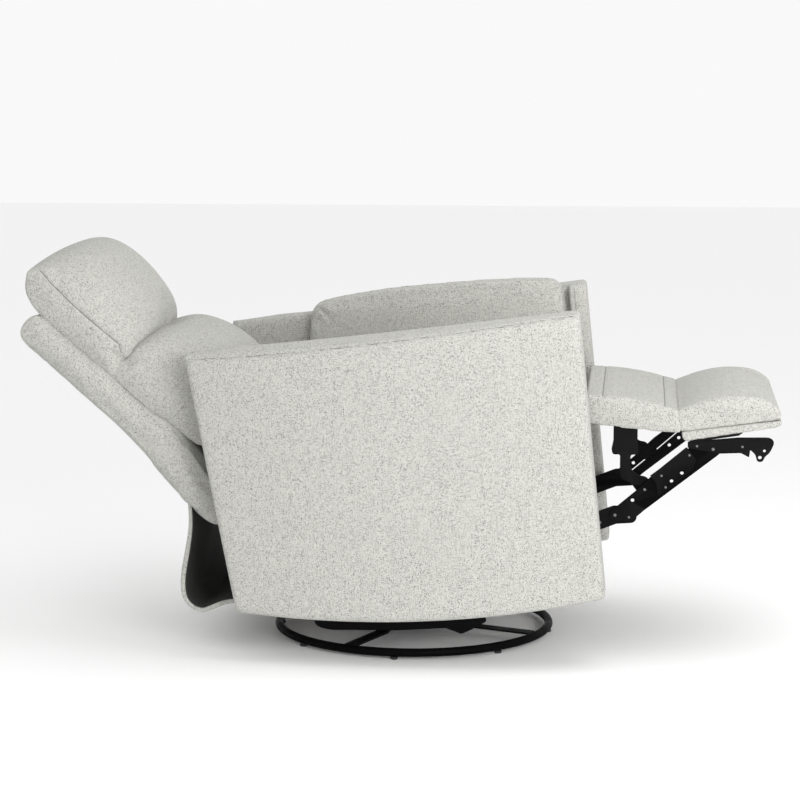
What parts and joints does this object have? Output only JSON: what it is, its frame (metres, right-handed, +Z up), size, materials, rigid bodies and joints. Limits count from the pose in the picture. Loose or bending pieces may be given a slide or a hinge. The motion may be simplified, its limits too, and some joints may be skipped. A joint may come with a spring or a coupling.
{
  "type": "swivel glider recliner",
  "caption": "Upholstered nursery chair that swivels and glides on a round floor base, with a reclining back and a fold-out footrest.",
  "frame": {"origin": "on the floor, under the centre of the bounding box of the chair as it stands at rest, with its back down and its footrest out; the swivel axis is 0.010 m in front of it", "axes": "+Z up; the sitter faces -Y; +X is the sitter's left"},
  "size_m": [0.784, 1.584, 0.8434],
  "materials": {
    "fabric": "matt woven tweed in light warm grey",
    "lining": "matt woven tweed with a dark lining inside",
    "black_steel": "satin black powder coat",
    "spring_steel": "bare",
    "wood": "sawn, unfinished",
    "plastic": "matt moulded"
  },
  "bodies": {
    "base": {"base_ring": "black_steel", "base_leg_1": "black_steel", "base_leg_2": "black_steel", "base_leg_3": "black_steel", "base_leg_4": "black_steel", "foot_1": "plastic", "foot_2": "plastic", "foot_3": "plastic", "foot_4": "plastic", "foot_5": "plastic", "foot_6": "plastic", "foot_7": "plastic", "foot_8": "plastic", "hub_plate": "black_steel", "bearing_ring": "spring_steel"},
    "swivel": {"swivel_plate": "black_steel", "glider_rail_left": "black_steel", "glider_rail_right": "black_steel", "cross_channel_front": "black_steel", "cross_channel_rear": "black_steel"},
    "glide_links_front": {"glide_link_front_left": "black_steel", "glide_link_front_right": "black_steel"},
    "glide_links_rear": {"glide_link_rear_left": "black_steel", "glide_link_rear_right": "black_steel"},
    "chair": {"side_plate_left": "black_steel", "side_plate_right": "black_steel", "seat_front_rail": "wood", "seat_rear_rail": "wood", "seat_spring_1": "spring_steel", "seat_spring_2": "spring_steel", "seat_spring_3": "spring_steel", "seat_cushion": "fabric", "arm_left": "fabric", "arm_right": "fabric", "arm_cushion_left": "fabric", "arm_cushion_right": "fabric", "back_flap": "lining"},
    "back": {"back_shell": "fabric", "back_cushion": "fabric", "headrest_pillow": "fabric", "back_bracket_left": "black_steel", "back_bracket_right": "black_steel"},
    "rear_links": {"rear_link_left": "black_steel", "rear_link_right": "black_steel", "drive_tube": "black_steel"},
    "front_links": {"front_link_left": "black_steel", "front_link_right": "black_steel"},
    "long_links": {"long_link_left": "black_steel", "long_link_right": "black_steel"},
    "chaise": {"mid_bracket_left": "black_steel", "mid_bracket_right": "black_steel", "chaise_pad": "fabric"},
    "footrest": {"footrest_bracket_left": "black_steel", "footrest_bracket_right": "black_steel", "footrest_board": "fabric", "foot_pad": "fabric"},
    "release": {"release_tab": "plastic"}
  },
  "joints": [
    {"name": "swivel", "type": "hinge", "parent": "base", "child": "swivel", "pos_m": [0, -0.01, 0.0545], "axis": [0, 0, 1], "continuous": true},
    {"name": "glide", "type": "slide", "parent": "swivel", "child": "chair", "axis": [0, -1, 0], "range_m": [-0.045, 0.045], "stiffness_N_per_m": 3500},
    {"name": "glide_swing_front", "type": "hinge", "parent": "swivel", "child": "glide_links_front", "pos_m": [0, -0.12, 0.235], "axis": [-1, 0, 0], "range_deg": [-22, 22]},
    {"name": "glide_swing_rear", "type": "hinge", "parent": "swivel", "child": "glide_links_rear", "pos_m": [0, 0.1, 0.235], "axis": [-1, 0, 0], "range_deg": [-22, 22]},
    {"name": "recline", "type": "hinge", "parent": "chair", "child": "back", "pos_m": [0, 0.225, 0.4], "axis": [1, 0, 0], "range_deg": [0, 36]},
    {"name": "footrest", "type": "hinge", "parent": "chair", "child": "rear_links", "pos_m": [0, -0.229, 0.216], "axis": [-1, 0, 0], "range_deg": [0, 73.8]},
    {"name": "front_link_swing", "type": "hinge", "parent": "chair", "child": "front_links", "pos_m": [0, -0.3096, 0.2858], "axis": [-1, 0, 0], "range_deg": [0, 125]},
    {"name": "knee", "type": "hinge", "parent": "rear_links", "child": "long_links", "pos_m": [0, -0.45, 0.303], "axis": [-1, 0, 0], "range_deg": [-162, 0]},
    {"name": "chaise_tilt", "type": "hinge", "parent": "long_links", "child": "chaise", "pos_m": [0, -0.511, 0.358], "axis": [-1, 0, 0], "range_deg": [0, 3.1]},
    {"name": "footrest_tilt", "type": "hinge", "parent": "long_links", "child": "footrest", "pos_m": [0, -0.65, 0.446], "axis": [-1, 0, 0], "range_deg": [-12.1, 0]},
    {"name": "release_pull", "type": "slide", "parent": "chair", "child": "release", "axis": [0, 0, 1], "range_m": [0, 0.02], "stiffness_N_per_m": 400}
  ],
  "couplings": [
    {"joint": "glide_swing_front", "follows": "glide", "rad_per_m": 8.3333},
    {"joint": "glide_swing_rear", "follows": "glide", "rad_per_m": 8.3333},
    {"joint": "front_link_swing", "follows": "footrest", "ratio": 1.687},
    {"joint": "knee", "follows": "footrest", "ratio": -2.192},
    {"joint": "chaise_tilt", "follows": "footrest", "ratio": 0.0407},
    {"joint": "footrest_tilt", "follows": "footrest", "ratio": -0.1626}
  ]
}
